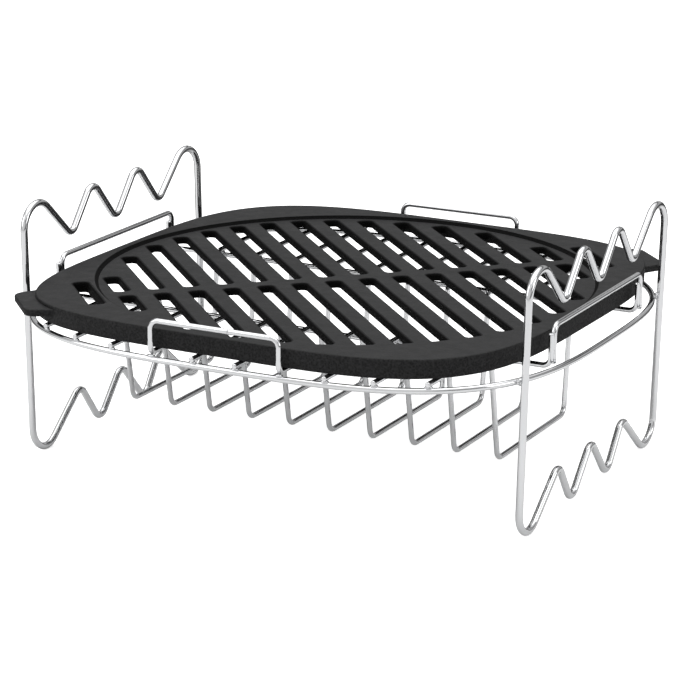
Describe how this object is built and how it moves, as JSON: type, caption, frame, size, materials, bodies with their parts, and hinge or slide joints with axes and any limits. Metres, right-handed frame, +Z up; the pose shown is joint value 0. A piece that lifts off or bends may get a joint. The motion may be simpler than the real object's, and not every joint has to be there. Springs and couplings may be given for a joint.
{
  "type": "hibachi grill",
  "caption": "Chromed wire grill rack with wavy skewer rests at both ends, U-shaped rib wires below and a loose slotted cast plate with two ears.",
  "frame": {"origin": "on the surface the rack stands on, under the centre of the ring and of the plate", "axes": "+X along the rack from one wavy end frame to the other, +Y towards the back, +Z up; the plate's ears point to +X +Y and -X -Y"},
  "size_m": [0.3296, 0.3112, 0.149],
  "materials": {
    "chromed_wire": "bright chrome plating over drawn steel wire, with small weld beads",
    "cast_iron": "black-grey cast iron, fine sand-cast texture on the sides and smooth matte on top"
  },
  "bodies": {
    "rack": {"plate_ring": "chromed_wire", "end_frame_left": "chromed_wire", "end_frame_right": "chromed_wire", "rib_wire_01": "chromed_wire", "rib_wire_02": "chromed_wire", "rib_wire_03": "chromed_wire", "rib_wire_05": "chromed_wire", "rib_wire_06": "chromed_wire", "rib_wire_08": "chromed_wire", "rib_wire_09": "chromed_wire", "rib_wire_10": "chromed_wire", "keeper_loop": "chromed_wire", "rail_front": "chromed_wire", "rail_back": "chromed_wire", "side_keeper_left": "chromed_wire", "side_keeper_right": "chromed_wire"},
    "plate": {"grill_plate": "cast_iron"}
  },
  "joints": [
    {"name": "plate_lift", "type": "slide", "parent": "rack", "child": "plate", "axis": [0, 0, 1], "range_m": [0, 0.08]}
  ]
}
